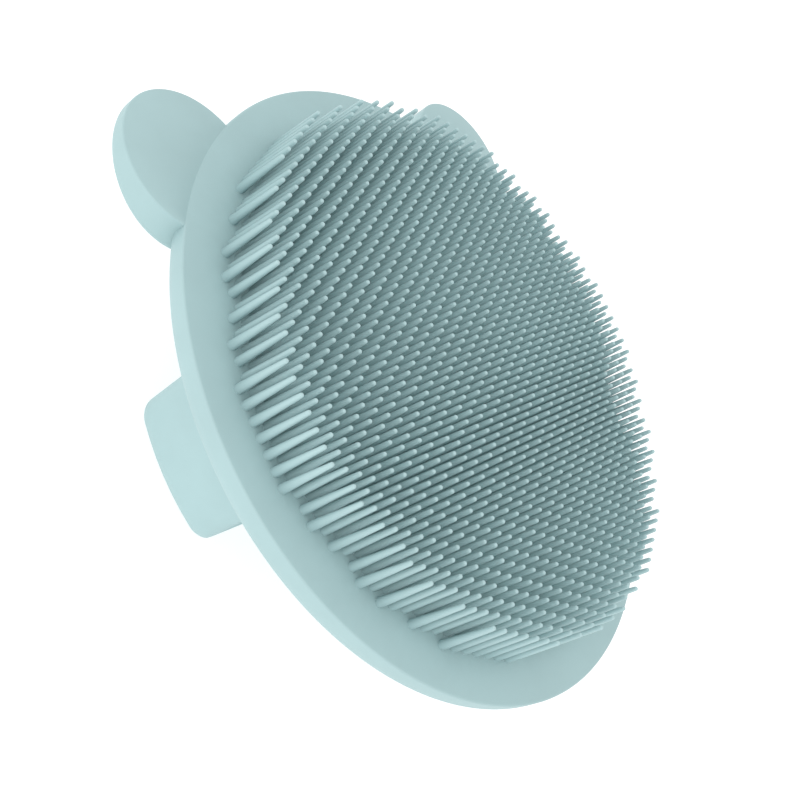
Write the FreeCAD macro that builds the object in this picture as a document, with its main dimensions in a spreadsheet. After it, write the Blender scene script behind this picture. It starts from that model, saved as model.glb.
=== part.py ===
import FreeCAD, Part
import Sketcher
import math
import os
from FreeCAD import Vector

# Soft facial cleansing brush in the shape of a bear's head: a thin round face
# plate with two round ears, a field of tapered bristles on its front, and a
# finger loop on its back. It is one silicone moulding, divided here where its
# functions change. It stands on the flat outer face of the loop with the
# bristles upwards.
#
# Frame: origin at the bottom centre, +Z the way the bristles point, +Y towards
# the ears, so -X and +X are the left and right of the bear's head seen from the
# front. Inside each body, z = 0 is the front face of the plate.

SIZES = (
    ("disc_diameter", 81.16),
    ("plate_thickness", 5.0),
    ("plate_wall", 1.25),
    ("plate_back_round", 3.0),
    ("plate_flat_radius", 35.0),
    ("front_height", 23.5),
    ("ear_radius", 8.95),
    ("ear_side_offset", 27.67),
    ("ear_up_offset", 30.71),
    ("ear_blank_depth", 7.0),
    ("ear_cut_start", 30.0),
    ("ear_flat_end", 36.0),
    ("ear_cut_end", 52.0),
    ("ear_back_curve", 40.0),
    ("ear_back_round", 1.0),
    ("bristle_pitch", 1.818),
    ("row_spacing", 1.6125),
    ("bristle_length", 7.5),
    ("bristle_root_diameter", 1.3),
    ("bristle_tip_diameter", 0.6),
    ("field_half_width", 35.94),
    ("field_half_height", 35.09),
    ("bed_radius", 37.2),
    ("bed_depth", 0.8),
    ("loop_width", 17.5),
    ("loop_up_offset", 2.3),
    ("loop_foot_half_span", 33.2),
    ("loop_outer_half_span", 30.4),
    ("loop_thickness", 3.5),
    ("loop_bend_radius", 5.0),
    ("loop_inner_bend_radius", 2.5),
    ("loop_outer_edge_round", 2.0),
    ("loop_inner_edge_round", 0.9),
)

# On either side of the field this row is one bristle shorter at each end.
SHORTENED_ROW = 20

TOLERANCE = 1e-6


def make_sheet(doc):
    """Put every driving dimension in its own named cell."""
    sheet = doc.addObject("Spreadsheet::Sheet", "sizes")
    for row, (name, value) in enumerate(SIZES, start=1):
        sheet.set("A%d" % row, name)
        sheet.set("B%d" % row, str(value))
        sheet.setAlias("B%d" % row, name)
    doc.recompute()
    return sheet


def make_body(doc, name):
    """An empty body whose z = 0 lies on the front face of the plate."""
    body = doc.addObject("PartDesign::Body", name)
    body.Label = name
    body.setExpression("Placement.Base.z", "sizes.front_height")
    return body


def origin_feature(body, role):
    return next(item for item in body.Origin.OriginFeatures if item.Role == role)


def add_sketch(body, name, role):
    sketch = body.newObject("Sketcher::SketchObject", name)
    sketch.AttachmentSupport = [(origin_feature(body, role), "")]
    sketch.MapMode = "FlatFace"
    return sketch


def constrain(sketch, expression, *definition):
    """Add a constraint, with its value bound to the sheet if it has one."""
    if expression is None:
        return sketch.addConstraint(Sketcher.Constraint(*definition))
    value = float(sketch.evalExpression(expression))
    index = sketch.addConstraint(Sketcher.Constraint(*definition, value))
    sketch.setExpression("Constraints[%d]" % index, expression)
    return index


def close_outline(sketch, count):
    """Join the ends of the first pieces of a sketch into one closed outline."""
    for piece in range(count):
        constrain(sketch, None, "Coincident", piece, 2, (piece + 1) % count, 1)


def add_circle_sketch(body, name, radius_expression, start_radius):
    """A circle about the body's own axis."""
    sketch = add_sketch(body, name, "XY_Plane")
    sketch.addGeometry(Part.Circle(Vector(0, 0, 0), Vector(0, 0, 1), start_radius), False)
    constrain(sketch, None, "Coincident", 0, 3, -1, 1)
    constrain(sketch, radius_expression, "Radius", 0)
    return sketch


def add_pad(body, name, sketch, length_expression, downwards=False, centred=False):
    pad = body.newObject("PartDesign::Pad", name)
    pad.Profile = sketch
    pad.Reversed = downwards
    pad.Midplane = centred
    pad.setExpression("Length", length_expression)
    sketch.Visibility = False
    return pad


def add_pocket(body, name, sketch, length_expression=None, centred=False):
    """Cut along the sketch's normal, and make sure that material went."""
    body.Document.recompute()
    before = body.Shape.Volume
    pocket = body.newObject("PartDesign::Pocket", name)
    pocket.Profile = sketch
    pocket.Midplane = centred
    if length_expression is None:
        pocket.Type = "ThroughAll"
    else:
        pocket.setExpression("Length", length_expression)
    body.Document.recompute()
    if body.Shape.Volume >= before - TOLERANCE:
        raise RuntimeError("%s cut nothing from %s" % (name, body.Label))
    return pocket


def add_fillet(body, name, base, wanted, radius_expression):
    """Round each edge of the base feature that wanted() accepts."""
    body.Document.recompute()
    edges = base.Shape.Edges
    names = ["Edge%d" % number for number, edge in enumerate(edges, start=1) if wanted(edge)]
    if not names:
        raise RuntimeError("%s found no edges on %s" % (name, body.Label))
    fillet = body.newObject("PartDesign::Fillet", name)
    fillet.Base = (base, names)
    fillet.setExpression("Radius", radius_expression)
    body.Document.recompute()
    return fillet


def touching_point(corner, hub, radius):
    """Where the line from a corner touches the outer side of a circle."""
    reach = corner - hub
    direction = math.atan2(reach.y, reach.x) + math.acos(radius / reach.Length)
    return hub + Vector(math.cos(direction), math.sin(direction), 0) * radius


def add_plate_section(body, sheet, name):
    """Half of the plate's section: wall, rounding, slope, then a flat back."""
    radius = sheet.disc_diameter / 2
    bend = sheet.plate_back_round
    hub = Vector(radius - bend, -sheet.plate_wall, 0)
    front, back = Vector(0, 0, 0), Vector(0, -sheet.plate_thickness, 0)
    flat_end = Vector(sheet.plate_flat_radius, -sheet.plate_thickness, 0)
    slope_end = touching_point(flat_end, hub, bend)
    on_bend = hub + Vector(math.sqrt(0.5), -math.sqrt(0.5), 0) * bend
    wall_end, rim = hub + Vector(bend, 0, 0), Vector(radius, 0, 0)
    sketch = add_sketch(body, name, "XZ_Plane")
    sketch.addGeometry(Part.LineSegment(front, back), False)
    sketch.addGeometry(Part.LineSegment(back, flat_end), False)
    sketch.addGeometry(Part.LineSegment(flat_end, slope_end), False)
    sketch.addGeometry(Part.Arc(slope_end, on_bend, wall_end), False)
    sketch.addGeometry(Part.LineSegment(wall_end, rim), False)
    sketch.addGeometry(Part.LineSegment(rim, front), False)
    axis, flat, slope, bend_arc, wall, front_line = range(6)
    for line in (axis, flat, wall, front_line):
        after = (line + 1) % 6
        constrain(sketch, None, "Coincident", line, 2, after, 1)
    constrain(sketch, None, "Tangent", slope, 2, bend_arc, 1)
    constrain(sketch, None, "Tangent", bend_arc, 2, wall, 1)
    constrain(sketch, None, "Coincident", axis, 1, -1, 1)
    for line, direction in ((axis, "Vertical"), (flat, "Horizontal"),
                            (wall, "Vertical"), (front_line, "Horizontal")):
        constrain(sketch, None, direction, line)
    constrain(sketch, "sizes.disc_diameter / 2", "DistanceX", front_line, 2, front_line, 1)
    constrain(sketch, "sizes.plate_thickness", "DistanceY", axis, 2, axis, 1)
    constrain(sketch, "sizes.plate_flat_radius", "DistanceX", flat, 1, flat, 2)
    constrain(sketch, "sizes.plate_wall", "DistanceY", wall, 1, wall, 2)
    constrain(sketch, "sizes.plate_back_round", "Radius", bend_arc)
    return sketch


def turn_section(body, kind, name, sketch):
    """Turn a half section about its sketch's upright axis, to add or to cut."""
    feature = body.newObject("PartDesign::" + kind, name)
    feature.Profile = sketch
    feature.ReferenceAxis = (sketch, ["V_Axis"])
    feature.Angle = 360
    sketch.Visibility = False
    return feature


def make_face_plate(doc, sheet):
    """Round plate, flat in front, with a shallow seat there for the bristle bed."""
    body = make_body(doc, "face_plate")
    section = add_plate_section(body, sheet, "plate_section")
    turn_section(body, "Revolution", "plate", section)
    seat = add_circle_sketch(body, "bed_seat_outline", "sizes.bed_radius", sheet.bed_radius)
    add_pocket(body, "bed_seat", seat, "sizes.bed_depth")
    return body


def add_ear_back_section(body, sheet, name):
    """Half section that, turned about the plate's axis, thins the ears outwards.

    It cuts them level with the plate's back first, then along a wide arc that
    leaves that level smoothly.
    """
    bend = sheet.ear_back_curve
    level, below = -sheet.plate_thickness, -sheet.ear_blank_depth
    start, flat_end, end = sheet.ear_cut_start, sheet.ear_flat_end, sheet.ear_cut_end

    def on_arc(distance):
        rise = bend - math.sqrt(bend ** 2 - (distance - flat_end) ** 2)
        return Vector(distance, level + rise, 0)

    corners = [Vector(start, below, 0), Vector(start, level, 0), Vector(flat_end, level, 0)]
    curve = Part.Arc(corners[-1], on_arc((flat_end + end) / 2), on_arc(end))
    sketch = add_sketch(body, name, "XZ_Plane")
    sketch.addGeometry(Part.LineSegment(corners[0], corners[1]), False)
    sketch.addGeometry(Part.LineSegment(corners[1], corners[2]), False)
    sketch.addGeometry(curve, False)
    sketch.addGeometry(Part.LineSegment(on_arc(end), Vector(end, below, 0)), False)
    sketch.addGeometry(Part.LineSegment(Vector(end, below, 0), corners[0]), False)
    inner, flat, arc, outer, bottom = range(5)
    for line in (inner, arc, outer, bottom):
        constrain(sketch, None, "Coincident", line, 2, (line + 1) % 5, 1)
    constrain(sketch, None, "Tangent", flat, 2, arc, 1)
    for line, direction in ((inner, "Vertical"), (flat, "Horizontal"),
                            (outer, "Vertical"), (bottom, "Horizontal")):
        constrain(sketch, None, direction, line)
    constrain(sketch, "sizes.ear_cut_start", "DistanceX", -1, 1, inner, 1)
    constrain(sketch, "sizes.ear_flat_end", "DistanceX", -1, 1, flat, 2)
    constrain(sketch, "sizes.ear_cut_end", "DistanceX", -1, 1, outer, 1)
    constrain(sketch, "sizes.plate_thickness", "DistanceY", flat, 1, -1, 1)
    constrain(sketch, "sizes.ear_blank_depth", "DistanceY", inner, 1, -1, 1)
    constrain(sketch, "sizes.ear_back_curve", "Radius", arc)
    return sketch


def groove_away(body, name, sketch):
    """Cut with a section turned about the plate's axis, and make sure it cut."""
    body.Document.recompute()
    before = body.Shape.Volume
    groove = turn_section(body, "Groove", name, sketch)
    body.Document.recompute()
    if body.Shape.Volume >= before - TOLERANCE:
        raise RuntimeError("%s cut nothing from %s" % (name, body.Label))
    return groove


def make_ear(doc, sheet, name, side):
    """Round ear, thinner outwards, cut to fit the plate. Side is -1 left, 1 right."""
    body = make_body(doc, name)
    sketch = add_sketch(body, name + "_outline", "XY_Plane")
    centre = Vector(side * sheet.ear_side_offset, sheet.ear_up_offset, 0)
    sketch.addGeometry(Part.Circle(centre, Vector(0, 0, 1), sheet.ear_radius), False)
    ear_centre, axis_point = (0, 3), (-1, 1)
    across = axis_point + ear_centre if side > 0 else ear_centre + axis_point
    constrain(sketch, "sizes.ear_side_offset", "DistanceX", *across)
    constrain(sketch, "sizes.ear_up_offset", "DistanceY", *(axis_point + ear_centre))
    constrain(sketch, "sizes.ear_radius", "Radius", 0)
    add_pad(body, name + "_pad", sketch, "sizes.ear_blank_depth", downwards=True)
    back = groove_away(
        body, name + "_back", add_ear_back_section(body, sheet, name + "_back_section"))

    def back_edge(edge):
        middle = edge.valueAt((edge.FirstParameter + edge.LastParameter) / 2)
        off_axis = math.hypot(middle.x - centre.x, middle.y - centre.y)
        on_wall = abs(off_axis - sheet.ear_radius) < 1e-3
        return on_wall and edge.BoundBox.ZMax < -TOLERANCE

    add_fillet(body, name + "_back_edge", back, back_edge, "sizes.ear_back_round")
    groove_away(body, name + "_seat", add_plate_section(body, sheet, name + "_plate_section"))
    return body


def add_trapezoid(body, name, top, bottom, top_width, bottom_width):
    """Upright trapezoid in the XZ plane, centred on the Z axis below z = 0.

    Top and bottom are depths below the front face, and all four sizes are
    expressions on the sheet.
    """
    sketch = add_sketch(body, name, "XZ_Plane")
    expressions = (top, bottom, top_width, bottom_width)
    values = [float(sketch.evalExpression(expression)) for expression in expressions]
    top_depth, bottom_depth, top_span, bottom_span = values
    corners = (
        Vector(-top_span / 2, -top_depth, 0),
        Vector(top_span / 2, -top_depth, 0),
        Vector(bottom_span / 2, -bottom_depth, 0),
        Vector(-bottom_span / 2, -bottom_depth, 0),
    )
    for start, end in zip(corners, corners[1:] + corners[:1]):
        sketch.addGeometry(Part.LineSegment(start, end), False)
    close_outline(sketch, 4)
    for line in (0, 2):
        constrain(sketch, None, "Symmetric", line, 1, line, 2, -2)
    constrain(sketch, top_width, "DistanceX", 0, 1, 0, 2)
    constrain(sketch, bottom_width, "DistanceX", 2, 2, 2, 1)
    constrain(sketch, top, "DistanceY", 0, 1, -1, 1)
    constrain(sketch, bottom, "DistanceY", 2, 1, -1, 1)
    return sketch


def make_finger_loop(doc, sheet):
    """Strap bent into an arch behind the plate, open along Y for the fingers."""
    body = make_body(doc, "finger_loop")
    body.setExpression("Placement.Base.y", "sizes.loop_up_offset")
    foot = sheet.loop_foot_half_span
    outer = sheet.loop_outer_half_span
    thick = sheet.loop_thickness
    plate = sheet.plate_thickness
    height = sheet.front_height
    arch = add_trapezoid(
        body, "loop_outline", "sizes.plate_thickness", "sizes.front_height",
        "2 * sizes.loop_foot_half_span", "2 * sizes.loop_outer_half_span")
    pad = add_pad(body, "loop_pad", arch, "sizes.loop_width", centred=True)

    def outer_bend(edge):
        box = edge.BoundBox
        return box.YLength > sheet.loop_width / 2 and abs(box.ZMax + height) < 1e-4

    bend = add_fillet(body, "loop_bend", pad, outer_bend, "sizes.loop_bend_radius")
    opening = add_trapezoid(
        body, "finger_opening_outline", "sizes.plate_thickness",
        "sizes.front_height - sizes.loop_thickness",
        "2 * (sizes.loop_foot_half_span - sizes.loop_thickness)",
        "2 * (sizes.loop_outer_half_span - sizes.loop_thickness)")
    cut = add_pocket(body, "finger_opening", opening, "2 * sizes.loop_width", centred=True)

    def inner_bend(edge):
        box = edge.BoundBox
        deep = abs(box.ZMax + height - thick) < 1e-4
        return box.YLength > sheet.loop_width / 2 and deep

    inner = add_fillet(body, "opening_bend", cut, inner_bend, "sizes.loop_inner_bend_radius")

    def on_side(edge):
        return edge.BoundBox.YLength < 1e-4

    def at_plate(edge):
        box = edge.BoundBox
        return abs(box.ZMin + plate) < 1e-4

    def outside(edge):
        """The outer line of the strap's side faces, from foot to foot."""
        middle = edge.valueAt((edge.FirstParameter + edge.LastParameter) / 2)
        share = (-middle.z - plate) / (height - plate)
        wall = foot - thick / 2 + share * (outer - foot)
        return abs(middle.x) > wall or -middle.z > height - thick / 2

    def outer_edge(edge):
        return on_side(edge) and not at_plate(edge) and outside(edge)

    def inner_edge(edge):
        return on_side(edge) and not at_plate(edge) and not outside(edge)

    rounded = add_fillet(body, "loop_outer_edges", inner, outer_edge, "sizes.loop_outer_edge_round")
    add_fillet(body, "loop_inner_edges", rounded, inner_edge, "sizes.loop_inner_edge_round")
    return body


def bristles_in_row(sheet, row):
    """How many bristles of the field, nearly round, stand on this row.

    Rows are counted from the middle one, which has a bristle on the plate's
    axis, and every second row is set half a pitch along.
    """
    share = row * sheet.row_spacing / sheet.field_half_width
    steps = sheet.field_half_height * math.sqrt(1 - share ** 2) / sheet.bristle_pitch
    count = 2 * math.floor(steps) + 1 if row % 2 == 0 else 2 * math.floor(steps + 0.5)
    return count - 2 if abs(row) == SHORTENED_ROW else count


def row_name(row):
    if row == 0:
        return "bristle_row_middle"
    return "bristle_row_%s_%02d" % ("left" if row < 0 else "right", abs(row))


def outermost_row(sheet):
    return math.floor(sheet.field_half_width / sheet.row_spacing)


def hold_across(sketch, line, steps):
    """Make a line upright and hold it this many rows, of either sign, from x = 0."""
    constrain(sketch, None, "Vertical", line)
    from_axis = (-1, 1, line, 1) if steps > 0 else (line, 1, -1, 1)
    distance = "%.1f * sizes.row_spacing" % abs(steps)
    constrain(sketch, distance, "DistanceX", *from_axis)


def hold_on_bed_circle(sketch, arc):
    constrain(sketch, None, "Coincident", arc, 3, -1, 1)
    constrain(sketch, "sizes.bed_radius", "Radius", arc)


def bed_arc(radius, start_x, middle_x, end_x, side):
    """Arc of the bed's circle on the +Y or -Y side, given by three x positions."""
    points = (
        Vector(x, side * math.sqrt(radius ** 2 - x ** 2), 0) for x in (start_x, middle_x, end_x)
    )
    return Part.Arc(*points)


def upright(x, low, high):
    return Part.LineSegment(Vector(x, low, 0), Vector(x, high, 0))


def add_strip(body, sheet, row):
    """Slice of the round bed, one row spacing wide, ending on the bed's circle.

    The outermost slices reach out to the circle, so the strips fill the seat.
    """
    radius = sheet.bed_radius
    left, right = (row - 0.5) * sheet.row_spacing, (row + 0.5) * sheet.row_spacing
    sketch = add_sketch(body, "strip_outline", "XY_Plane")
    if abs(row) == outermost_row(sheet):
        side = 1 if row > 0 else -1
        inner = left if row > 0 else right
        end = side * math.sqrt(radius ** 2 - inner ** 2)
        sketch.addGeometry(upright(inner, end, -end), False)
        cap = Part.Arc(Vector(inner, -end, 0), Vector(side * radius, 0, 0), Vector(inner, end, 0))
        sketch.addGeometry(cap, False)
        close_outline(sketch, 2)
        hold_across(sketch, 0, row - side * 0.5)
        hold_on_bed_circle(sketch, 1)
    else:
        middle = row * sheet.row_spacing
        right_end, left_end = (math.sqrt(radius ** 2 - x ** 2) for x in (right, left))
        sketch.addGeometry(upright(right, -right_end, right_end), False)
        sketch.addGeometry(bed_arc(radius, right, middle, left, 1), False)
        sketch.addGeometry(upright(left, left_end, -left_end), False)
        sketch.addGeometry(bed_arc(radius, left, middle, right, -1), False)
        close_outline(sketch, 4)
        for line, steps in ((0, row + 0.5), (2, row - 0.5)):
            hold_across(sketch, line, steps)
        for arc in (1, 3):
            hold_on_bed_circle(sketch, arc)
    return add_pad(body, "strip", sketch, "sizes.bed_depth", downwards=True)


def add_first_bristle(body, sheet, row, count):
    """Tapered bristle with a round tip, turned about its own upright axis."""
    root = sheet.bristle_root_diameter / 2
    tip = sheet.bristle_tip_diameter / 2
    shoulder = sheet.bristle_length - tip
    sketch = add_sketch(body, "bristle_outline", "YZ_Plane")
    across = "%d * sizes.row_spacing" % row
    along = "%.1f * sizes.bristle_pitch" % (-(count - 1) / 2)
    sketch.setExpression("AttachmentOffset.Base.z", across)
    sketch.setExpression("AttachmentOffset.Base.x", along)
    foot = Vector(root, 0, 0)
    neck = Vector(tip, shoulder, 0)
    point = Vector(0, sheet.bristle_length, 0)
    half_way = Vector(tip * math.sqrt(0.5), shoulder + tip * math.sqrt(0.5), 0)
    sketch.addGeometry(Part.LineSegment(Vector(0, 0, 0), foot), False)
    sketch.addGeometry(Part.LineSegment(foot, neck), False)
    sketch.addGeometry(Part.Arc(neck, half_way, point), False)
    sketch.addGeometry(Part.LineSegment(point, Vector(0, 0, 0)), False)
    close_outline(sketch, 4)
    constrain(sketch, None, "Coincident", 0, 1, -1, 1)
    constrain(sketch, None, "Horizontal", 0)
    constrain(sketch, None, "Vertical", 3)
    constrain(sketch, None, "PointOnObject", 2, 3, -2)
    constrain(sketch, None, "Horizontal", 2, 3, 1, 2)
    constrain(sketch, "sizes.bristle_root_diameter / 2", "DistanceX", 0, 1, 0, 2)
    constrain(sketch, "sizes.bristle_tip_diameter / 2", "Radius", 2)
    constrain(sketch, "sizes.bristle_length", "DistanceY", 3, 2, 3, 1)
    return turn_section(body, "Revolution", "first_bristle", sketch)


def make_bristle_row(doc, sheet, row):
    """One row of bristles along Y on its own strip of the bed."""
    body = make_body(doc, row_name(row))
    count = bristles_in_row(sheet, row)
    add_strip(body, sheet, row)
    bristle = add_first_bristle(body, sheet, row, count)
    doc.recompute()
    pattern = body.newObject("PartDesign::LinearPattern", "bristles")
    pattern.Originals = [bristle]
    pattern.Direction = (origin_feature(body, "Y_Axis"), [""])
    pattern.Occurrences = count
    pattern.setExpression("Length", "%d * sizes.bristle_pitch" % (count - 1))
    body.Tip = pattern
    return body


def check_document(doc, bodies):
    """Stop if any object failed or any sub-part isn't one sound solid."""
    for item in doc.Objects:
        if "Invalid" in item.State or "Error" in item.State:
            raise RuntimeError("%s is %s" % (item.Name, item.State))
    for body in bodies:
        shape = body.Shape
        if shape.isNull() or not shape.isValid() or len(shape.Solids) != 1:
            raise RuntimeError("%s isn't one valid solid" % body.Label)


def write_parts(bodies):
    os.makedirs("parts", exist_ok=True)
    for body in bodies:
        body.Shape.exportStep(os.path.join("parts", body.Label + ".step"))


def main():
    doc = FreeCAD.newDocument("facial_cleansing_brush")
    sheet = make_sheet(doc)
    bodies = [
        make_face_plate(doc, sheet),
        make_ear(doc, sheet, "left_ear", -1),
        make_ear(doc, sheet, "right_ear", 1),
        make_finger_loop(doc, sheet),
    ]
    last = outermost_row(sheet)
    for row in range(-last, last + 1):
        bodies.append(make_bristle_row(doc, sheet, row))
    doc.recompute()
    check_document(doc, bodies)
    write_parts(bodies)
    for body in bodies:
        box = body.Shape.BoundBox
        print("%-22s %8.1f mm3  z %6.2f to %6.2f" % (body.Label, body.Shape.Volume, box.ZMin, box.ZMax))


if __name__ == "__main__":
    main()
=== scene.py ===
import math

import bmesh
import bpy
import numpy as np
from mathutils import Matrix, Vector


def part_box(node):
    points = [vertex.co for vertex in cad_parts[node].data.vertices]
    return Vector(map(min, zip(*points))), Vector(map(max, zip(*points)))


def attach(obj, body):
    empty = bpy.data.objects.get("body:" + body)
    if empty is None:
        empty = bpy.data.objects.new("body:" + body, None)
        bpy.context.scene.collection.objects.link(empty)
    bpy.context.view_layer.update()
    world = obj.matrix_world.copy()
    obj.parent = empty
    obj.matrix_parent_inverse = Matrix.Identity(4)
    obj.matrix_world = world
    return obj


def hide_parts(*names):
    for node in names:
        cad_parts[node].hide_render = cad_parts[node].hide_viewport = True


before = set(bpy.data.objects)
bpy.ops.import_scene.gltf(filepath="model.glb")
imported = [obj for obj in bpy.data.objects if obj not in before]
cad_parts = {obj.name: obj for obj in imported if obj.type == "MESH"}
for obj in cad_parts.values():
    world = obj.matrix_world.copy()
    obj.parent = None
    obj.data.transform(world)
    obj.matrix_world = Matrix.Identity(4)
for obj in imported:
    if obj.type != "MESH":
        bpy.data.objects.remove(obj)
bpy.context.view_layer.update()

# A soft silicone facial brush shaped like a bear's head, standing on its finger
# loop with the bristles up. Everything is in metres, in the CAD frame.

MM = 0.001

# The plate's place and size, from the frame.
PLATE_LOW, PLATE_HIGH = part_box("face_plate")
PLATE_RADIUS = min(PLATE_HIGH.x, -PLATE_LOW.x)
PLATE_THICKNESS = PLATE_HIGH.z - PLATE_LOW.z
FRONT = PLATE_HIGH.z
BACK = PLATE_LOW.z

# Sizes that the frame's boxes don't give.
PLATE_WALL = 1.25 * MM
PLATE_BACK_ROUND = 3.0 * MM
PLATE_FLAT_RADIUS = 35.0 * MM
FLAT_BLEND_START = 0.96          # share of that radius at which the flat back starts to bend
FRONT_EDGE_ROUND = 0.22 * MM
FRONT_RING_INSET = 1.6 * FRONT_EDGE_ROUND    # of the flat front's outermost ring of points
EAR_RADIUS = 8.95 * MM
EAR_FLAT_END = 36.0 * MM         # from the plate's axis; beyond it the ears get thinner
EAR_BACK_CURVE = 40.0 * MM
EAR_BACK_ROUND = 1.0 * MM

BRISTLE_PITCH = 1.818 * MM
FIELD_HALF_WIDTH = 35.94 * MM
FIELD_HALF_HEIGHT = 35.09 * MM
SHORTENED_ROW = 20               # one bristle shorter at each end, on either side
BRISTLE_ROOT_RADIUS = 0.59 * MM
BRISTLE_TIP_RADIUS = 0.28 * MM

STRAP_THICKNESS = 3.5 * MM
STRAP_FOOT_LEAN = 2.8 * MM       # how much further out the strap's feet stand than its bends
STRAP_BEND = 5.0 * MM
STRAP_INNER_BEND = 2.5 * MM
STRAP_LOWER_EDGE = 2.0 * MM
STRAP_UPPER_EDGE = 2.7 * MM
STRAP_INNER_EDGE = 0.9 * MM
STRAP_EDGE_LIMIT = 0.98          # an edge's largest rounding, as a share of half the thickness
STRAP_BEND_NARROWING = 0.15 * MM
STRAP_CROWN = 0.8 * MM           # how much lower the outer face lies at its edges
STRAP_FOOT_BLEND = 1.2 * MM      # concave blend between the strap and the plate's back
STRAP_ROOT = 0.7 * MM            # how far its feet reach into the plate, past the slope there

SUNK = 0.05 * MM                 # how far the other pieces reach into the plate

# Fineness of the meshes. Rings are shares of the plate's radius or the bristle's length.
PLATE_SEGMENTS = 512
PLATE_FRONT_RINGS = (0.35, 0.7, 0.92)
PLATE_BACK_RINGS = (0.6, 0.3)
PLATE_ROUND_STEPS = 14
PLATE_BLEND_STEPS = 6
FRONT_ROUND_STEPS = 4
EAR_SEGMENTS = 120
EAR_ROUND_STEPS = 10
EAR_BACK_STEPS = 8
EAR_MEETING_ROUNDS = 20
BRISTLE_SEGMENTS = 14
BRISTLE_RINGS = (0.0, 0.25, 0.5, 0.75, 0.95)
BRISTLE_TIP_STEPS = 4
STRAP_BLEND_STEPS = 8
STRAP_LEG_STEPS = 8
STRAP_BEND_STEPS = 14
STRAP_FLAT_STEPS = 14
STRAP_EDGE_STEPS = 7
STRAP_FACE_STEPS = 6
WELD_DISTANCE = 1e-8
CREASE_ANGLE = math.radians(40)

# Silicone.
BODY_COLOUR = (0.42, 0.594, 0.607)
BODY_ROUGHNESS = 0.52
BODY_GRAIN = 0.03 * MM
BRISTLE_COLOUR = (0.455, 0.635, 0.65)
BRISTLE_ROUGHNESS = 0.42
BRISTLE_GRAIN = 0.01 * MM
BRISTLE_PAINTED_LIGHT = (0.96, 1.01)    # painted shade at the bristles' roots and painted highlight at their tips, as shares of that colour
TONE_SHADES = (0.965, 1.025)     # the darkest and lightest clouds in the colour
CLOUD_SCALE = 90.0
GRAIN_SCALE = 5200.0
ROUGHNESS_SPREAD = 0.06
GRAIN_STRENGTH = 0.35
REFRACTIVE_INDEX = 1.41
# Painted shade: how far and how deeply the colour darkens where other surfaces stand close.
PAINTED_SHADE_REACH = 2.5 * MM
CREVICE_PAINTED_SHADE = 0.77
PAINTED_SHADE_SAMPLES = 6

# The set.
VIEW_FROM = Vector((-115.18, -10.215, 76.13)) * MM    # from the middle of the plate's front
LOOK_ALONG = Vector((0.8044, 0.0735, -0.5895))
PICTURE_UP = Vector((0.1878, 0.9100, 0.3696))
LENS = 49.57
KEY_FROM = Vector((-0.42, -0.02, 0.30))               # from the middle of the plate
KEY_SIZE = 0.35
KEY_POWER = 0.45
SKY_STRENGTH = 0.92
FLOOR_HALF_SIZE = 3.0
FLOOR_GREY = 0.5
FLOOR_GLOW = 0.7


# ---------------------------------------------------------------- numbers

def centre_of(node):
    low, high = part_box(node)
    return (low + high) / 2


def smoothstep(value):
    value = min(max(value, 0.0), 1.0)
    return value * value * (3 - 2 * value)


def quarter_turn(steps):
    """Angles from 0 to 90 degrees, both included, in equal steps."""
    return [step / steps * math.pi / 2 for step in range(steps + 1)]


def full_turn(segments):
    """Equally spaced angles right round a circle."""
    return [2 * math.pi * step / segments for step in range(segments)]


def round_axis(radius, angle, height):
    return (radius * math.cos(angle), radius * math.sin(angle), height)


# ---------------------------------------------------------------- meshes

def make_piece(name, vertices, faces, sharp_edges=()):
    """A smooth-shaded object from plain vertex and face lists."""
    mesh = bpy.data.meshes.new(name)
    mesh.from_pydata(vertices, [], faces)
    mesh.validate()
    mesh.shade_smooth()
    if sharp_edges:
        wanted = {tuple(sorted(edge)) for edge in sharp_edges}
        for edge in mesh.edges:
            edge.use_edge_sharp = tuple(sorted(edge.vertices)) in wanted
    mesh.update()
    piece = bpy.data.objects.new(name, mesh)
    bpy.context.scene.collection.objects.link(piece)
    return piece


def grid_faces(rows, columns, closed):
    """Quads between rows of points laid out one row after another."""
    faces = []
    spans = columns if closed else columns - 1
    for row in range(rows - 1):
        low, high = row * columns, (row + 1) * columns
        for column in range(spans):
            after = (column + 1) % columns
            faces.append((low + column, low + after, high + after, high + column))
    return faces


def ring(row, columns):
    """Numbers of the points of one row of such a grid."""
    return [row * columns + column for column in range(columns)]


def clean_normals(piece):
    """Weld points that coincide, turn every face outwards and keep creases crisp."""
    mesh = bmesh.new()
    mesh.from_mesh(piece.data)
    bmesh.ops.remove_doubles(mesh, verts=mesh.verts, dist=WELD_DISTANCE)
    bmesh.ops.recalc_face_normals(mesh, faces=mesh.faces)
    for edge in mesh.edges:
        edge.smooth = edge.calc_face_angle(math.pi) < CREASE_ANGLE
    mesh.to_mesh(piece.data)
    mesh.free()


def finish_piece(piece, node, material):
    piece.data.materials.append(material)
    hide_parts(node)
    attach(piece, "root")


# ---------------------------------------------------------------- the plate

def slope_start():
    """Angle on the rim's rounding at which the slope to the flat back begins."""
    out = PLATE_FLAT_RADIUS - (PLATE_RADIUS - PLATE_BACK_ROUND)
    down = PLATE_THICKNESS - PLATE_WALL
    return math.atan2(down, out) - math.acos(PLATE_BACK_ROUND / math.hypot(out, down))


def plate_radius_at(depth):
    """The plate's radius at a depth below its front."""
    if depth <= PLATE_WALL:
        return PLATE_RADIUS
    hub = PLATE_RADIUS - PLATE_BACK_ROUND
    turn = slope_start()
    slope_depth = PLATE_WALL + PLATE_BACK_ROUND * math.sin(turn)
    if depth <= slope_depth:
        return hub + math.sqrt(PLATE_BACK_ROUND ** 2 - (depth - PLATE_WALL) ** 2)
    share = min((depth - slope_depth) / (PLATE_THICKNESS - slope_depth), 1.0)
    slope_radius = hub + PLATE_BACK_ROUND * math.cos(turn)
    return slope_radius + (PLATE_FLAT_RADIUS - slope_radius) * share


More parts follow.
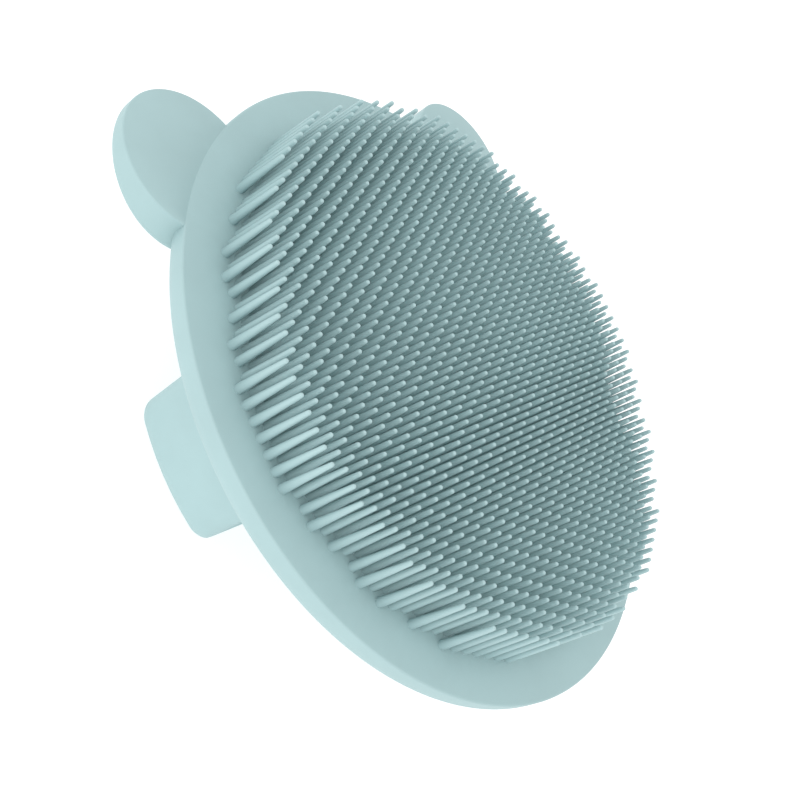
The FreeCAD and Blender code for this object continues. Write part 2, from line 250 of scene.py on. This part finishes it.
def front_rounding(size):
    """Quarter round at the front's edge, as (distance in from the wall, depth)."""
    return [
        (size * (1 - math.sin(turn)), size * (1 - math.cos(turn)))
        for turn in quarter_turn(FRONT_ROUND_STEPS)]


def plate_section(edge_round):
    """Outline of half the plate, (distance from axis, depth), from front to back."""
    points = [(PLATE_RADIUS * share, 0.0) for share in PLATE_FRONT_RINGS]
    points.append((PLATE_RADIUS - FRONT_RING_INSET, 0.0))
    points += [(PLATE_RADIUS - inward, depth) for inward, depth in front_rounding(edge_round)]
    hub = PLATE_RADIUS - PLATE_BACK_ROUND
    last_turn = slope_start()
    for step in range(PLATE_ROUND_STEPS + 1):
        turn = step / PLATE_ROUND_STEPS * last_turn
        points.append((
            hub + PLATE_BACK_ROUND * math.cos(turn), PLATE_WALL + PLATE_BACK_ROUND * math.sin(turn)))
    slope_end = Vector(points[-1])
    corner = Vector((PLATE_FLAT_RADIUS, PLATE_THICKNESS))
    on_flat = Vector((PLATE_FLAT_RADIUS * FLAT_BLEND_START, PLATE_THICKNESS))
    on_slope = slope_end.lerp(corner, 0.5)
    for step in range(PLATE_BLEND_STEPS + 1):
        share = step / PLATE_BLEND_STEPS
        point = on_slope.lerp(corner, share).lerp(corner.lerp(on_flat, share), share)
        points.append(tuple(point))
    points += [(PLATE_RADIUS * share, PLATE_THICKNESS) for share in PLATE_BACK_RINGS]
    return points


def ear_overlap(angle, centres):
    """How far a point of the plate's circle lies inside an ear, in metres."""
    point = Vector((PLATE_RADIUS * math.cos(angle), PLATE_RADIUS * math.sin(angle)))
    return max(EAR_RADIUS - (point - centre).length for centre in centres)


def make_plate(material):
    """The round plate, whose front edge stays square where it meets the ears."""
    centres = ear_centres().values()
    angles = full_turn(PLATE_SEGMENTS)
    sections = []
    for angle in angles:
        share = 1 - smoothstep(ear_overlap(angle, centres) / FRONT_EDGE_ROUND)
        sections.append(plate_section(FRONT_EDGE_ROUND * share))
    vertices = []
    for level in zip(*sections):
        vertices += [round_axis(out, angle, FRONT - depth) for angle, (out, depth) in zip(angles, level)]
    levels = len(sections[0])
    faces = grid_faces(levels, PLATE_SEGMENTS, closed=True)
    faces.append(ring(0, PLATE_SEGMENTS))
    faces.append(ring(levels - 1, PLATE_SEGMENTS))
    piece = make_piece("round_face_plate", vertices, faces)
    clean_normals(piece)
    finish_piece(piece, "face_plate", material)


# ---------------------------------------------------------------- the ears

def ear_centres():
    """Centres of the two ears: the right one's box touches its circle at +X and +Y."""
    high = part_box("right_ear")[1]
    centre = Vector((high.x - EAR_RADIUS, high.y - EAR_RADIUS))
    return {"left_ear": Vector((-centre.x, centre.y)), "right_ear": centre}


def ear_levels():
    """The ear's wall from front to back, as (distance in from its circle, offset,
    whether that offset counts forwards from the ear's back or down from its front).
    """
    levels = [(inward, depth, False) for inward, depth in front_rounding(FRONT_EDGE_ROUND)]
    for turn in quarter_turn(EAR_ROUND_STEPS):
        inward = EAR_BACK_ROUND * (1 - math.cos(turn))
        levels.append((inward, EAR_BACK_ROUND * (1 - math.sin(turn)), True))
    return levels


def ear_back_depth(distance):
    """Depth of the ear's back at a distance from the plate's axis."""
    past = max(distance - EAR_FLAT_END, 0.0)
    return PLATE_THICKNESS - EAR_BACK_CURVE + math.sqrt(EAR_BACK_CURVE ** 2 - past ** 2)


def half_span(distance, ear_radius, plate_radius):
    """Half the angle that the plate's circle covers, seen from the ear's centre."""
    cosine = (distance ** 2 + ear_radius ** 2 - plate_radius ** 2) / (2 * distance * ear_radius)
    return math.acos(min(max(cosine, -1.0), 1.0))


def ear_wall_point(centre, radius, angle, offset, from_back):
    point = centre + Vector((math.cos(angle), math.sin(angle))) * radius
    depth = ear_back_depth(point.length) - offset if from_back else offset
    return Vector((point.x, point.y, FRONT - depth))


def ear_wall_rows(centre):
    """Rows of points round the ear, which end where its wall meets the plate's rim."""
    to_axis = math.atan2(-centre.y, -centre.x)
    rows = []
    for inward, offset, from_back in ear_levels():
        radius = EAR_RADIUS - inward
        sunk = SUNK if rows else 0.0
        span = half_span(centre.length, radius, PLATE_RADIUS)
        for _ in range(EAR_MEETING_ROUNDS):
            end = ear_wall_point(centre, radius, to_axis + span, offset, from_back)
            reach = plate_radius_at(FRONT - end.z) - sunk
            span = half_span(centre.length, radius, reach)
        sweep = 2 * math.pi - 2 * span
        rows.append([
            ear_wall_point(
                centre, radius, to_axis + span + sweep * column / EAR_SEGMENTS, offset, from_back)
            for column in range(EAR_SEGMENTS + 1)])
    return rows


def arc_between_ends(row, radius, depth):
    """Points on a circle about the plate's axis, from one end of a row to the other."""
    start = math.atan2(row[0].y, row[0].x)
    turn = math.atan2(row[-1].y, row[-1].x) - start
    angles = [start + turn * column / EAR_SEGMENTS for column in range(EAR_SEGMENTS + 1)]
    return [Vector(round_axis(radius, angle, FRONT - depth)) for angle in angles]


def ear_back_rows(outer):
    """Rows over the ear's back, from its wall to a line just inside the plate's back."""
    inner = arc_between_ends(outer, PLATE_FLAT_RADIUS * FLAT_BLEND_START, PLATE_THICKNESS - SUNK)
    rows = []
    for step in range(1, EAR_BACK_STEPS):
        row = [start.lerp(end, step / EAR_BACK_STEPS) for start, end in zip(outer, inner)]
        for point in row:
            point.z = FRONT - ear_back_depth(point.xy.length) + SUNK * step / EAR_BACK_STEPS
        rows.append(row)
    rows.append(inner)
    return rows


def make_ear(node, centre, material):
    """Ear whose wall runs into the plate's rounded rim at every depth."""
    rows = ear_wall_rows(centre)
    rows += ear_back_rows(rows[-1])
    rows.append(arc_between_ends(rows[0], PLATE_RADIUS, 0.0))
    vertices = [tuple(point) for row in rows for point in row]
    levels = len(rows)
    columns = EAR_SEGMENTS + 1
    faces = grid_faces(levels, columns, closed=False)
    last = (levels - 1) * columns
    for column in range(EAR_SEGMENTS):
        faces.append((last + column, last + column + 1, column + 1, column))
    for end in (0, columns - 1):
        faces.append([level * columns + end for level in range(levels)])
    piece = make_piece(node + "_shell", vertices, faces)
    clean_normals(piece)
    finish_piece(piece, node, material)


# ---------------------------------------------------------------- bristles

def bristle_profile(length):
    """(distance from the bristle's axis, height above the plate), root to tip."""
    shoulder = length - BRISTLE_TIP_RADIUS
    points = []
    for share in BRISTLE_RINGS:
        radius = BRISTLE_ROOT_RADIUS + (BRISTLE_TIP_RADIUS - BRISTLE_ROOT_RADIUS) * share
        points.append((radius, -SUNK + (shoulder + SUNK) * share))
    for turn in quarter_turn(BRISTLE_TIP_STEPS)[:-1]:
        points.append((
            BRISTLE_TIP_RADIUS * math.cos(turn), shoulder + BRISTLE_TIP_RADIUS * math.sin(turn)))
    return points


def bristle_template(length):
    """Points, faces and sharp edges of one bristle standing on the origin."""
    profile = bristle_profile(length)
    angles = full_turn(BRISTLE_SEGMENTS)
    points = [round_axis(radius, angle, height) for radius, height in profile for angle in angles]
    tip = len(points)
    points.append((0.0, 0.0, length))
    root = ring(0, BRISTLE_SEGMENTS)
    top = ring(len(profile) - 1, BRISTLE_SEGMENTS)
    faces = grid_faces(len(profile), BRISTLE_SEGMENTS, closed=True)
    faces.append(root[::-1])
    faces += [(start, end, tip) for start, end in zip(top, top[1:] + top[:1])]
    sharp = list(zip(root, root[1:] + root[:1]))
    return np.array(points), faces, sharp


def row_number(node):
    """Signed number of a row, counted from the middle one, from its node's name."""
    if node.endswith("middle"):
        return 0
    side, number = node.split("_")[-2:]
    return int(number) * (-1 if side == "left" else 1)


def row_positions(row, spacing):
    """Y of each bristle of one row of the field, which is nearly round."""
    share = row * spacing / FIELD_HALF_WIDTH
    steps = FIELD_HALF_HEIGHT * math.sqrt(1 - share ** 2) / BRISTLE_PITCH
    count = 2 * math.floor(steps) + 1 if row % 2 == 0 else 2 * math.floor(steps + 0.5)
    if abs(row) == SHORTENED_ROW:
        count -= 2
    return [(step - (count - 1) / 2) * BRISTLE_PITCH for step in range(count)]


def make_bristle_rows(material):
    middle = centre_of("bristle_row_middle").x
    spacing = centre_of("bristle_row_right_01").x - middle
    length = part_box("bristle_row_middle")[1].z - FRONT
    points, faces, sharp = bristle_template(length)
    for node in sorted(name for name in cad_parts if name.startswith("bristle_row")):
        row = row_number(node)
        vertices, all_faces, all_sharp = [], [], []
        for y in row_positions(row, spacing):
            first = len(vertices)
            place = np.array((middle + row * spacing, y, FRONT))
            vertices += [tuple(point) for point in points + place]
            all_faces += [tuple(first + index for index in face) for face in faces]
            all_sharp += [tuple(first + index for index in edge) for edge in sharp]
        piece = make_piece(node.replace("bristle_row", "bristles"), vertices, all_faces, all_sharp)
        finish_piece(piece, node, material)


# ---------------------------------------------------------------- finger loop

def leg_shares(length):
    """Where the leg has a section, as shares of its length, close together at its foot."""
    blend = STRAP_FOOT_BLEND / length
    shares = [blend * (1 - math.cos(turn)) for turn in quarter_turn(STRAP_BLEND_STEPS)]
    for step in range(1, STRAP_LEG_STEPS + 1):
        shares.append(blend + (1 - blend) * step / STRAP_LEG_STEPS)
    return shares


def bent_line(foot, corner, bend, shares):
    """Half of the arch in the XZ plane: down the leg, round the bend, along the flat."""
    down = (corner - foot).normalized()
    turn = math.acos(-down.x)
    bend_start = corner - down * (bend * math.tan(turn / 2))
    inwards = Vector((down.y, -down.x))
    hub = bend_start + inwards * bend
    points = [foot.lerp(bend_start, share) for share in shares]
    start_angle = math.atan2(-inwards.y, -inwards.x)
    for step in range(1, STRAP_BEND_STEPS + 1):
        angle = start_angle - turn * step / STRAP_BEND_STEPS
        points.append(hub + Vector((math.cos(angle), math.sin(angle))) * bend)
    bend_end = points[-1]
    middle = Vector((0, corner.y))
    for step in range(1, STRAP_FLAT_STEPS + 1):
        points.append(bend_end.lerp(middle, step / STRAP_FLAT_STEPS))
    return points


def strap_section(outer, inner, half_width, grow, crown):
    """Closed rounded outline, about a point outside the arch and one inside it.

    grow swells the outline on every side, and crown is how much lower the outer
    face lies at its edges than in the middle.
    """
    across = outer - inner
    thickness = across.length
    out = across / thickness
    middle = (outer + inner) / 2
    deep, wide = thickness / 2 + grow, half_width + grow
    corners = (
        (1, 1, STRAP_UPPER_EDGE), (-1, 1, STRAP_INNER_EDGE),
        (-1, -1, STRAP_INNER_EDGE), (1, -1, STRAP_LOWER_EDGE))
    outline = []
    for quarter, (x_side, y_side, edge) in enumerate(corners):
        edge = min(edge + grow, deep * STRAP_EDGE_LIMIT)
        for step in range(STRAP_EDGE_STEPS + 1):
            turn = math.pi / 2 * (quarter + step / STRAP_EDGE_STEPS)
            outline.append((
                x_side * (deep - edge) + edge * math.cos(turn),
                y_side * (wide - edge) + edge * math.sin(turn)))
    low_y, high_y = outline[-1][1], outline[0][1]
    for step in range(1, STRAP_FACE_STEPS):
        outline.append((deep, low_y + (high_y - low_y) * step / STRAP_FACE_STEPS))
    placed = []
    for x, y in outline:
        if x > 0:
            x -= crown * (y / wide) ** 2 * x / deep
        place = middle + out * x
        placed.append((place.x, y, place.y))
    return placed


def foot_swell(drop):
    """How much the strap swells at a drop below the plate's back, to blend into it."""
    if drop >= STRAP_FOOT_BLEND:
        return 0.0
    return STRAP_FOOT_BLEND - math.sqrt(STRAP_FOOT_BLEND ** 2 - (STRAP_FOOT_BLEND - drop) ** 2)


def strap_stations():
    """The strap's outlines, from inside the plate over the arch and back into it."""
    low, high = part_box("finger_loop")
    foot_half_width = (high.y - low.y) / 2
    foot_x, corner_x = high.x, high.x - STRAP_FOOT_LEAN
    shares = leg_shares(BACK - STRAP_BEND)
    outer = bent_line(Vector((foot_x, BACK)), Vector((corner_x, low.z)), STRAP_BEND, shares)
    inner_foot = Vector((foot_x - STRAP_THICKNESS, BACK))
    inner_corner = Vector((corner_x - STRAP_THICKNESS, low.z + STRAP_THICKNESS))
    inner = bent_line(inner_foot, inner_corner, STRAP_INNER_BEND, shares)
    stations = []
    for outer_point, inner_point in zip(outer, inner):
        drop = BACK - outer_point.y
        half_width = foot_half_width - STRAP_BEND_NARROWING * smoothstep(drop / BACK)
        past_bend = corner_x - STRAP_BEND - outer_point.x
        crown = STRAP_CROWN * (1 - smoothstep(past_bend / STRAP_BEND / 2))
        stations.append(strap_section(outer_point, inner_point, half_width, foot_swell(drop), crown))
    root = [(x, y, z + STRAP_ROOT) for x, y, z in stations[0]]
    stations.insert(0, root)
    mirrored = [[(-x, y, z) for x, y, z in station] for station in stations[:-1]]
    return stations + mirrored[::-1]


def make_finger_loop(material):
    middle_y = centre_of("finger_loop").y
    stations = strap_stations()
    vertices = [(x, middle_y + y, z) for station in stations for x, y, z in station]
    columns = len(stations[0])
    faces = grid_faces(len(stations), columns, closed=True)
    faces += [ring(0, columns), ring(len(stations) - 1, columns)]
    piece = make_piece("finger_loop_strap", vertices, faces)
    clean_normals(piece)
    finish_piece(piece, "finger_loop", material)


# ---------------------------------------------------------------- materials

def add_noise(nodes, links, coordinates, scale, detail):
    noise = nodes.new("ShaderNodeTexNoise")
    noise.inputs["Scale"].default_value = scale
    noise.inputs["Detail"].default_value = detail
    noise.inputs["Roughness"].default_value = 0.6
    links.new(coordinates, noise.inputs["Vector"])
    return noise.outputs["Fac"]


def add_range(nodes, links, value, bounds):
    """Spread a value that runs from 0 to 1 over the given bounds."""
    spread = nodes.new("ShaderNodeMapRange")
    spread.inputs["To Min"].default_value, spread.inputs["To Max"].default_value = bounds
    links.new(value, spread.inputs["Value"])
    return spread


def scale_colour(nodes, links, colour, shade):
    scaled = nodes.new("ShaderNodeVectorMath")
    scaled.operation = "SCALE"
    links.new(colour, scaled.inputs["Vector"])
    links.new(shade, scaled.inputs["Scale"])
    return scaled.outputs["Vector"]


def paint_shade_in_crevices(nodes, links, colour):
    """Painted shade: darken the colour where other surfaces stand close, as between bristles."""
    openness = nodes.new("ShaderNodeAmbientOcclusion")
    openness.samples = PAINTED_SHADE_SAMPLES
    openness.inputs["Distance"].default_value = PAINTED_SHADE_REACH
    shade = add_range(nodes, links, openness.outputs["AO"], (CREVICE_PAINTED_SHADE, 1.0))
    return scale_colour(nodes, links, colour, shade.outputs["Result"])


def paint_light_upwards(nodes, links, coordinates, colour, heights, painted_light):
    """Painted light: scale a colour from a painted shade at the lower height to a painted highlight at
    the upper.
    """
    height = nodes.new("ShaderNodeSeparateXYZ")
    links.new(coordinates, height.inputs["Vector"])
    shade = add_range(nodes, links, height.outputs["Z"], painted_light)
    shade.inputs["From Min"].default_value, shade.inputs["From Max"].default_value = heights
    return scale_colour(nodes, links, colour, shade.outputs["Result"])


def cloudy_tone(nodes, links, coordinates, colour):
    """A colour that drifts a little lighter and darker over the object."""
    cloud = add_noise(nodes, links, coordinates, CLOUD_SCALE, 3.0)
    tone = nodes.new("ShaderNodeValToRGB")
    for stop, position, shade in zip(tone.color_ramp.elements, (0.3, 0.7), TONE_SHADES):
        stop.position = position
        stop.color = (*[channel * shade for channel in colour], 1)
    links.new(cloud, tone.inputs["Fac"])
    return tone.outputs["Color"]


def silicone(name, colour, roughness, grain_height, heights=None, painted_light=None):
    """Matt moulded silicone: milky, finely textured, a little uneven in tone, with painted shade in its
    crevices.

    Given two heights, its colour goes from the first shade to the second one between them: painted shade
    low on the bristles and a painted highlight at their tips.
    """
    material = bpy.data.materials.new(name)
    material.use_nodes = True
    nodes, links = material.node_tree.nodes, material.node_tree.links
    shader = nodes["Principled BSDF"]
    coordinates = nodes.new("ShaderNodeTexCoord").outputs["Object"]

    tone = cloudy_tone(nodes, links, coordinates, colour)
    # painted shade at the bristles' roots and painted highlight at their tips
    if heights:
        tone = paint_light_upwards(nodes, links, coordinates, tone, heights, painted_light)
    # painted shade in crevices, between the bristles and round their roots
    tone = paint_shade_in_crevices(nodes, links, tone)
    links.new(tone, shader.inputs["Base Color"])

    grain = add_noise(nodes, links, coordinates, GRAIN_SCALE, 2.0)
    bounds = (roughness - ROUGHNESS_SPREAD, roughness + ROUGHNESS_SPREAD)
    spread = add_range(nodes, links, grain, bounds)
    links.new(spread.outputs["Result"], shader.inputs["Roughness"])

    bump = nodes.new("ShaderNodeBump")
    bump.inputs["Strength"].default_value = GRAIN_STRENGTH
    bump.inputs["Distance"].default_value = grain_height
    links.new(grain, bump.inputs["Height"])
    links.new(bump.outputs["Normal"], shader.inputs["Normal"])

    shader.inputs["IOR"].default_value = REFRACTIVE_INDEX
    return material


# ---------------------------------------------------------------- the set

def add_camera():
    camera = bpy.data.cameras.new("camera")
    camera.lens = LENS
    camera.sensor_width = 36.0
    camera.clip_start = 0.005
    camera.clip_end = 20.0
    holder = bpy.data.objects.new("camera", camera)
    back = -LOOK_ALONG.normalized()
    right = PICTURE_UP.cross(back).normalized()
    up = back.cross(right)
    turn = Matrix((right, up, back)).transposed().to_4x4()
    target = centre_of("face_plate")
    target.z = FRONT
    holder.matrix_world = Matrix.Translation(target + VIEW_FROM) @ turn
    bpy.context.scene.collection.objects.link(holder)
    bpy.context.scene.camera = holder


def add_key_light():
    """A large soft lamp on the camera's side of the brush."""
    light = bpy.data.lights.new("key", "AREA")
    light.shape = "DISK"
    light.size = KEY_SIZE
    light.energy = KEY_POWER
    holder = bpy.data.objects.new("key", light)
    holder.location = centre_of("face_plate") + KEY_FROM
    holder.rotation_mode = "QUATERNION"
    holder.rotation_quaternion = (-KEY_FROM).to_track_quat("-Z", "Y")
    bpy.context.scene.collection.objects.link(holder)


def add_world():
    world = bpy.data.worlds.new("studio")
    world.use_nodes = True
    background = world.node_tree.nodes["Background"]
    background.inputs["Color"].default_value = (1, 1, 1, 1)
    background.inputs["Strength"].default_value = SKY_STRENGTH
    bpy.context.scene.world = world


def add_floor():
    size = FLOOR_HALF_SIZE
    corners = [(-size, -size, 0), (size, -size, 0), (size, size, 0), (-size, size, 0)]
    floor = make_piece("floor", corners, [(0, 1, 2, 3)])
    material = bpy.data.materials.new("white_floor")
    material.use_nodes = True
    shader = material.node_tree.nodes["Principled BSDF"]
    shader.inputs["Base Color"].default_value = (FLOOR_GREY, FLOOR_GREY, FLOOR_GREY, 1)
    shader.inputs["Roughness"].default_value = 0.9
    shader.inputs["Emission Color"].default_value = (1, 1, 1, 1)
    shader.inputs["Emission Strength"].default_value = FLOOR_GLOW
    floor.data.materials.append(material)


def main():
    body = silicone("mint_silicone_body", BODY_COLOUR, BODY_ROUGHNESS, BODY_GRAIN)
    root_and_tip = FRONT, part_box("bristle_row_middle")[1].z
    bristles = silicone(
        "mint_silicone_bristles", BRISTLE_COLOUR, BRISTLE_ROUGHNESS, BRISTLE_GRAIN,
        root_and_tip, BRISTLE_PAINTED_LIGHT)
    make_plate(body)
    for node, centre in ear_centres().items():
        make_ear(node, centre, body)
    make_finger_loop(body)
    make_bristle_rows(bristles)
    add_floor()
    add_camera()
    add_key_light()
    add_world()
    bpy.context.scene.view_settings.view_transform = "Standard"


main()
